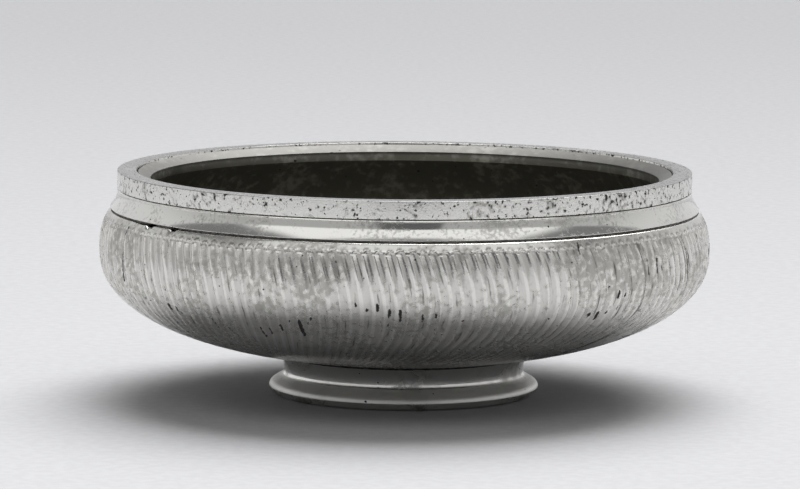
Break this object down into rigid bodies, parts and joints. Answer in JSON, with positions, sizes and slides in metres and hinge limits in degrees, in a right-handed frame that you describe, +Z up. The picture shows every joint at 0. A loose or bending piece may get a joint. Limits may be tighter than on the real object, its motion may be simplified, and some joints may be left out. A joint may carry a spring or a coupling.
{
  "type": "fluted silver bowl",
  "caption": "Wide shallow bowl with a smooth inner bowl in a fluted casing, a heavy flat rim over a hollow-curved collar, and a low flanged foot ring.",
  "frame": {"origin": "centre of the circle that the foot ring stands on", "axes": "+Z up along the bowl's axis; -Y towards the viewer and +X to the right in the picture"},
  "size_m": [0.16, 0.16, 0.0588],
  "materials": {
    "ring_silver": "polished silver, worn, with small black corrosion pits",
    "casing_silver": "chased silver, part polished, with dark tarnish in the flutes and black specks",
    "liner_silver": "smooth silver with a dull grey tarnish, brighter on the lip",
    "solder": "old soft solder, dark and dull"
  },
  "bodies": {
    "root": {"foot_ring": "ring_silver", "foot_solder": "solder", "fluted_casing": "casing_silver", "collar_solder": "solder", "collar_moulding": "ring_silver", "rim_ring": "ring_silver", "liner_bowl": "liner_silver"}
  },
  "joints": []
}
